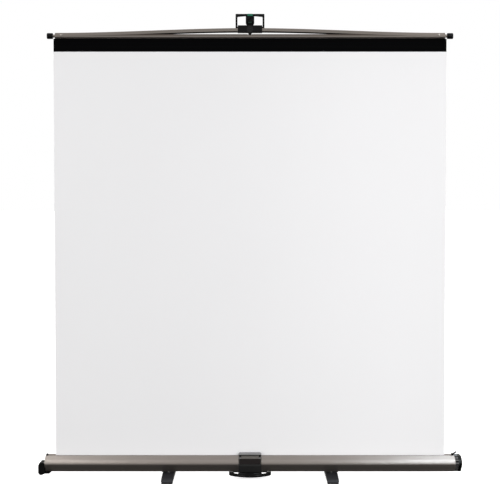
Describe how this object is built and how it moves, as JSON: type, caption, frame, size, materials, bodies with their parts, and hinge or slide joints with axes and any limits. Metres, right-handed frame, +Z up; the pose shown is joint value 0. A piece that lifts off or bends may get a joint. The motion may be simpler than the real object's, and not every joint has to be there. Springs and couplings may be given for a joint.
{
  "type": "projection screen",
  "caption": "Floor-standing pull-up projection screen: metal case with sprung roller on swivel feet, telescopic rear mast, bowed hanger bar and white fabric with a black top band.",
  "frame": {"origin": "on the floor, in the middle of the footprint, under the fabric", "axes": "+Z up, -Y the front with the white picture side, +X to the right of a viewer who looks at the picture side"},
  "size_m": [1.9546, 0.26, 2.1396],
  "materials": {
    "case_metal": "satin anodised, fine lengthwise grain",
    "slat_metal": "satin anodised, fine lengthwise grain",
    "bright_metal": "zinc plated",
    "roller_metal": "mill finish",
    "dark_metal": "black powder coat",
    "mast_metal": "dark satin paint",
    "black_plastic": "fine moulded grain",
    "gloss_black": "smooth, half gloss",
    "charcoal_plastic": "fine moulded grain",
    "grey_plastic": "satin moulded",
    "plate_plastic": "smooth bare plate",
    "foot_plastic": "coarse moulded grain",
    "green_plastic": "smooth moulded",
    "rubber": "matt",
    "white_fabric": "matt white coated weave, black back",
    "black_fabric": "matt black coated weave"
  },
  "bodies": {
    "root": {"case_tube": "case_metal", "left_end_plate": "case_metal", "right_end_plate": "case_metal", "left_end_shoe": "black_plastic", "right_end_collar": "charcoal_plastic", "right_end_cap": "black_plastic", "left_roller_bearing": "charcoal_plastic", "shaft_anchor": "dark_metal", "spring_shaft": "bright_metal", "roller_spring": "dark_metal", "screen_fabric": "white_fabric", "left_foot_bolt": "bright_metal", "left_foot_plate": "dark_metal", "right_foot_bolt": "bright_metal", "right_foot_plate": "dark_metal", "clamp_cover": "grey_plastic", "cover_plate": "plate_plastic", "clamp_base": "black_plastic", "mast_socket": "black_plastic", "mast_base_tube": "mast_metal", "lower_collar": "black_plastic", "lower_clamp_pin": "bright_metal", "latch_bracket": "black_plastic", "slat_stop": "charcoal_plastic"},
    "roller": {"roller_tube": "roller_metal", "fabric_roll": "black_fabric", "roller_left_plug": "black_plastic", "roller_right_plug": "black_plastic"},
    "mast_middle": {"mast_middle_tube": "mast_metal", "middle_bush": "black_plastic", "upper_collar": "black_plastic", "upper_clamp_pin": "bright_metal"},
    "mast_top": {"mast_top_tube": "mast_metal", "top_bush": "black_plastic", "hook_head": "black_plastic", "head_cover": "black_plastic", "hanger_block": "charcoal_plastic", "hanger_bolt": "charcoal_plastic", "bail": "gloss_black", "bow": "slat_metal", "left_bow_rivet": "slat_metal", "right_bow_rivet": "slat_metal", "slat": "slat_metal", "left_slat_cap": "black_plastic", "right_slat_cap": "black_plastic", "fabric_band": "black_fabric"},
    "left_foot": {"left_foot_bar": "foot_plastic", "left_front_pad": "rubber", "left_rear_pad": "rubber"},
    "right_foot": {"right_foot_bar": "foot_plastic", "right_front_pad": "rubber", "right_rear_pad": "rubber"},
    "carry_handle": {"carry_handle": "gloss_black"},
    "lower_clamp_lever": {"lower_clamp_lever": "charcoal_plastic"},
    "upper_clamp_lever": {"upper_clamp_lever": "charcoal_plastic"},
    "socket_knob": {"socket_knob": "black_plastic"},
    "hook_latch": {"hook_latch": "green_plastic"},
    "slat_latch": {"slat_latch": "charcoal_plastic"}
  },
  "joints": [
    {"name": "mast_lower_slide", "type": "slide", "parent": "root", "child": "mast_middle", "axis": [0, 0, 1], "range_m": [-0.59, 0], "deforming": ["screen_fabric"]},
    {"name": "mast_upper_slide", "type": "slide", "parent": "mast_middle", "child": "mast_top", "axis": [0, 0, 1], "range_m": [-0.59, 0]},
    {"name": "roller_turn", "type": "hinge", "parent": "root", "child": "roller", "pos_m": [0, 0.014, 0.068], "axis": [1, 0, 0], "range_deg": [0, 3220]},
    {"name": "left_foot_swivel", "type": "hinge", "parent": "root", "child": "left_foot", "pos_m": [-0.377, 0, 0.0284], "axis": [0, 0, 1], "range_deg": [0, 90]},
    {"name": "right_foot_swivel", "type": "hinge", "parent": "root", "child": "right_foot", "pos_m": [0.377, 0, 0.0284], "axis": [0, 0, 1], "range_deg": [-90, 0]},
    {"name": "carry_handle_swing", "type": "hinge", "parent": "root", "child": "carry_handle", "pos_m": [0, 0.014, 0.019], "axis": [1, 0, 0], "range_deg": [0, 90]},
    {"name": "lower_clamp_turn", "type": "hinge", "parent": "root", "child": "lower_clamp_lever", "pos_m": [0.0268, 0.0616, 0.7914], "axis": [0, 0, 1], "range_deg": [-100, 0]},
    {"name": "upper_clamp_turn", "type": "hinge", "parent": "mast_middle", "child": "upper_clamp_lever", "pos_m": [0.0233, 0.0616, 1.4509], "axis": [0, 0, 1], "range_deg": [-100, 0]},
    {"name": "socket_knob_turn", "type": "hinge", "parent": "root", "child": "socket_knob", "pos_m": [0, 0.0616, 0.07], "axis": [0, 1, 0], "range_deg": [-540, 0]},
    {"name": "hook_latch_slide", "type": "slide", "parent": "mast_top", "child": "hook_latch", "axis": [0, 0, -1], "range_m": [0, 0.0107], "stiffness_N_per_m": 300, "springref_m": -0.003},
    {"name": "slat_latch_turn", "type": "hinge", "parent": "root", "child": "slat_latch", "pos_m": [0.938, 0, 0.1116], "axis": [0, 1, 0], "range_deg": [-115, 25]}
  ],
  "couplings": [
    {"joint": "mast_upper_slide", "follows": "mast_lower_slide", "ratio": 1},
    {"joint": "roller_turn", "follows": "mast_lower_slide", "rad_per_m": -94.8}
  ]
}
